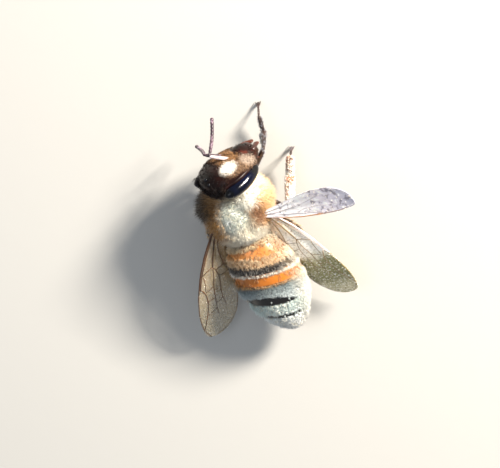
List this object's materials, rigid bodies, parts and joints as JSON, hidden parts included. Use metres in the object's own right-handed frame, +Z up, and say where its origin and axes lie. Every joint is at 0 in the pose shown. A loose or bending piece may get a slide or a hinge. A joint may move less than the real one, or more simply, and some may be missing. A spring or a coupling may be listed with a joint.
{
  "type": "honey bee model",
  "caption": "Life-size still model of a worker honey bee standing on its feet, head rolled over, wings part spread, coat dusted with pollen.",
  "frame": {"origin": "on the floor, under the middle of the bee's outline", "axes": "+Z up, -Y towards the bee's head, +X towards the bee's left"},
  "size_m": [0.0124, 0.0148, 0.0067],
  "materials": {
    "body_hair": "soft dense branched hair, golden tan to cream",
    "head_cuticle": "satin pitted black-brown cuticle under short tan hair",
    "compound_eye": "glossy, finely faceted, near black",
    "feeler": "satin dark brown with pale dust",
    "mouthparts": "glossy red-brown cuticle",
    "amber_band": "satin amber cuticle under short cream hair",
    "black_band": "satin black cuticle with pale pollen dust",
    "dusted_band": "black cuticle dusted white with pollen and short hair",
    "wing_membrane": "clear, slightly amber membrane with brown veins and pollen specks",
    "leg_cuticle": "glossy dark brown cuticle with fine hair",
    "leg_pollen": "leg coated with pale pollen and hair"
  },
  "bodies": {
    "root": {"head": "head_cuticle", "eye_left": "compound_eye", "eye_right": "compound_eye", "mandible_left": "mouthparts", "mandible_right": "mouthparts", "proboscis": "mouthparts", "antenna_left_scape": "feeler", "antenna_left_flagellum": "feeler", "antenna_right_scape": "feeler", "antenna_right_flagellum": "feeler", "neck": "leg_cuticle", "thorax": "body_hair", "abdomen_t1": "amber_band", "abdomen_t2": "amber_band", "abdomen_t3": "amber_band", "abdomen_t4": "black_band", "abdomen_t5": "dusted_band", "abdomen_t6": "dusted_band", "forewing_left": "wing_membrane", "forewing_right": "wing_membrane", "hindwing_left": "wing_membrane", "hindwing_right": "wing_membrane", "leg_fore_right_coxa": "leg_cuticle", "leg_fore_right_femur": "leg_cuticle", "leg_fore_right_tibia": "leg_cuticle", "leg_fore_right_basitarsus": "leg_cuticle", "leg_fore_right_tarsus": "leg_cuticle", "leg_fore_left_coxa": "leg_cuticle", "leg_fore_left_femur": "leg_cuticle", "leg_fore_left_tibia": "leg_cuticle", "leg_fore_left_basitarsus": "leg_cuticle", "leg_fore_left_tarsus": "leg_cuticle", "leg_mid_right_coxa": "leg_cuticle", "leg_mid_right_femur": "leg_cuticle", "leg_mid_right_tibia": "leg_pollen", "leg_mid_right_basitarsus": "leg_pollen", "leg_mid_right_tarsus": "leg_cuticle", "leg_mid_left_coxa": "leg_cuticle", "leg_mid_left_femur": "leg_cuticle", "leg_mid_left_tibia": "leg_cuticle", "leg_mid_left_basitarsus": "leg_cuticle", "leg_mid_left_tarsus": "leg_cuticle", "leg_hind_right_coxa": "leg_cuticle", "leg_hind_right_femur": "leg_cuticle", "leg_hind_right_tibia": "leg_cuticle", "leg_hind_right_basitarsus": "leg_cuticle", "leg_hind_right_tarsus": "leg_cuticle", "leg_hind_left_coxa": "leg_cuticle", "leg_hind_left_femur": "leg_cuticle", "leg_hind_left_tibia": "leg_cuticle", "leg_hind_left_basitarsus": "leg_cuticle", "leg_hind_left_tarsus": "leg_cuticle"}
  },
  "joints": []
}
